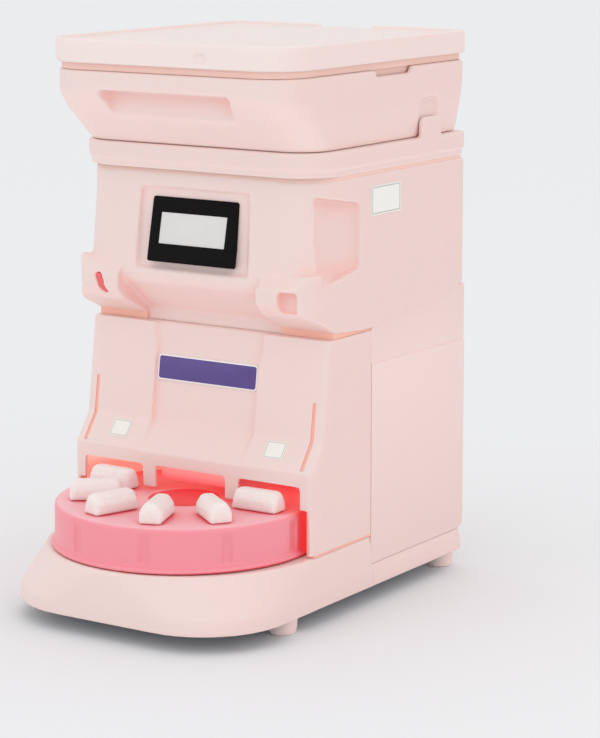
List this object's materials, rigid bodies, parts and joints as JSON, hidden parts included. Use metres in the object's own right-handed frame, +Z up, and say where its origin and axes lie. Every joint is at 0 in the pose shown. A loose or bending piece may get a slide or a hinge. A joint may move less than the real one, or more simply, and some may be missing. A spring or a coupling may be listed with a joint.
{
  "type": "sushi rice machine",
  "caption": "Countertop machine with a lidded rice hopper over a touch panel head; forming rollers drop rice balls onto a turntable in front.",
  "frame": {"origin": "middle of the footprint on the surface the feet stand on", "axes": "+X to the machine's right seen from the front, +Y to the rear, +Z up"},
  "size_m": [0.348, 0.514, 0.665],
  "materials": {
    "cover": "moulded plastic, pale pink, semi-gloss",
    "table": "moulded plastic, strong pink, semi-gloss",
    "liner": "moulded plastic, coral",
    "seal": "silicone rubber, salmon",
    "steel": "folded sheet and turned steel",
    "motor": "painted gear motor",
    "gear": "cut gear",
    "food_resin": "food-safe resin, white",
    "rice": "rice ball, soft white",
    "plate": "bare purple plate with a white edge",
    "label": "blank sticker",
    "bezel": "black panel",
    "screen": "pale display, switched off",
    "electric": "black moulded plastic",
    "rocker": "red rocker",
    "board": "circuit board and power supply"
  },
  "bodies": {
    "machine": {"base_tray": "cover", "feet": "cover", "bottom_plate": "steel", "side_frame_left": "steel", "side_frame_right": "steel", "tie_bars": "steel", "turntable_bearing": "steel", "turntable_motor": "motor", "bay_liner": "liner", "side_cover_left": "cover", "side_cover_right": "cover", "rear_panel": "cover", "rear_screws": "steel", "head_cover": "cover", "side_label": "label", "panel_bezel": "bezel", "panel_screen": "screen", "panel_housing": "bezel", "hopper_frame": "cover", "frame_seal": "seal", "agitator_motor": "motor", "motor_shelf": "steel", "rice_chute": "food_resin", "feed_motor": "motor", "feed_duct": "food_resin", "forming_motor": "motor", "roller_bearings": "steel", "cutter_guides": "food_resin", "cutter_actuator": "motor", "mould_block": "food_resin", "power_inlet": "electric", "power_switch": "electric", "fan": "electric", "electronics": "board"},
    "front_cover": {"front_cover": "cover", "brand_plate": "plate", "cover_labels": "label"},
    "turntable": {"turntable": "table", "turntable_spindle": "steel", "turntable_gear": "gear", "rice_balls": "rice"},
    "table_pinion": {"turntable_pinion": "gear"},
    "hopper": {"hopper_bowl": "cover"},
    "lid": {"lid": "cover", "lid_seal": "seal"},
    "agitator": {"agitator": "food_resin"},
    "agitator_shaft": {"agitator_drive": "steel"},
    "feed_front": {"feed_roller_front": "food_resin", "feed_gear_front": "gear"},
    "feed_rear": {"feed_roller_rear": "food_resin", "feed_gear_rear": "gear"},
    "feed_drive": {"feed_pinion": "motor"},
    "forming_front": {"forming_roller_front": "food_resin", "forming_gear_front": "gear"},
    "forming_rear": {"forming_roller_rear": "food_resin", "forming_gear_rear": "gear"},
    "forming_drive": {"forming_pinion": "motor"},
    "cutter": {"cutter_plate": "steel"},
    "rocker": {"power_rocker": "rocker"},
    "fan_wheel": {"fan_rotor": "electric"}
  },
  "joints": [
    {"name": "turntable_spin", "type": "hinge", "parent": "machine", "child": "turntable", "pos_m": [0, -0.097, 0.082], "axis": [0, 0, 1], "continuous": true},
    {"name": "table_pinion_spin", "type": "hinge", "parent": "machine", "child": "table_pinion", "pos_m": [0, -0.022, 0.082], "axis": [0, 0, 1], "continuous": true},
    {"name": "front_cover_pull", "type": "slide", "parent": "machine", "child": "front_cover", "axis": [0, -1, 0], "range_m": [0, 0.035]},
    {"name": "hopper_lift", "type": "slide", "parent": "machine", "child": "hopper", "axis": [0, 0, 1], "range_m": [0, 0.08]},
    {"name": "lid_lift", "type": "slide", "parent": "hopper", "child": "lid", "axis": [0, 0, 1], "range_m": [0, 0.06]},
    {"name": "agitator_shaft_spin", "type": "hinge", "parent": "machine", "child": "agitator_shaft", "pos_m": [0, 0.15, 0.48], "axis": [0, 0, 1], "continuous": true},
    {"name": "agitator_spin", "type": "hinge", "parent": "hopper", "child": "agitator", "pos_m": [0, 0.15, 0.55], "axis": [0, 0, 1], "continuous": true},
    {"name": "feed_rear_spin", "type": "hinge", "parent": "machine", "child": "feed_rear", "pos_m": [0, 0.037, 0.46], "axis": [1, 0, 0], "continuous": true},
    {"name": "feed_front_spin", "type": "hinge", "parent": "machine", "child": "feed_front", "pos_m": [0, -0.023, 0.46], "axis": [1, 0, 0], "continuous": true},
    {"name": "feed_drive_spin", "type": "hinge", "parent": "machine", "child": "feed_drive", "pos_m": [0, 0.091, 0.46], "axis": [1, 0, 0], "continuous": true},
    {"name": "forming_rear_spin", "type": "hinge", "parent": "machine", "child": "forming_rear", "pos_m": [0, 0.032, 0.3], "axis": [1, 0, 0], "continuous": true},
    {"name": "forming_front_spin", "type": "hinge", "parent": "machine", "child": "forming_front", "pos_m": [0, -0.018, 0.3], "axis": [1, 0, 0], "continuous": true},
    {"name": "forming_drive_spin", "type": "hinge", "parent": "machine", "child": "forming_drive", "pos_m": [0, 0.077, 0.3], "axis": [1, 0, 0], "continuous": true},
    {"name": "cutter_slide", "type": "slide", "parent": "machine", "child": "cutter", "axis": [0, 1, 0], "range_m": [0, 0.034]},
    {"name": "rocker_tip", "type": "hinge", "parent": "machine", "child": "rocker", "pos_m": [0.12, 0.2495, 0.126], "axis": [1, 0, 0], "range_deg": [0, 20]},
    {"name": "fan_spin", "type": "hinge", "parent": "machine", "child": "fan_wheel", "pos_m": [-0.07, 0.236, 0.43], "axis": [0, 1, 0], "continuous": true}
  ],
  "couplings": [
    {"joint": "table_pinion_spin", "follows": "turntable_spin", "ratio": -3},
    {"joint": "agitator_shaft_spin", "follows": "agitator_spin", "ratio": 1},
    {"joint": "feed_front_spin", "follows": "feed_rear_spin", "ratio": -1},
    {"joint": "feed_drive_spin", "follows": "feed_rear_spin", "ratio": -1.25},
    {"joint": "forming_front_spin", "follows": "forming_rear_spin", "ratio": -1},
    {"joint": "forming_drive_spin", "follows": "forming_rear_spin", "ratio": -1.25}
  ]
}
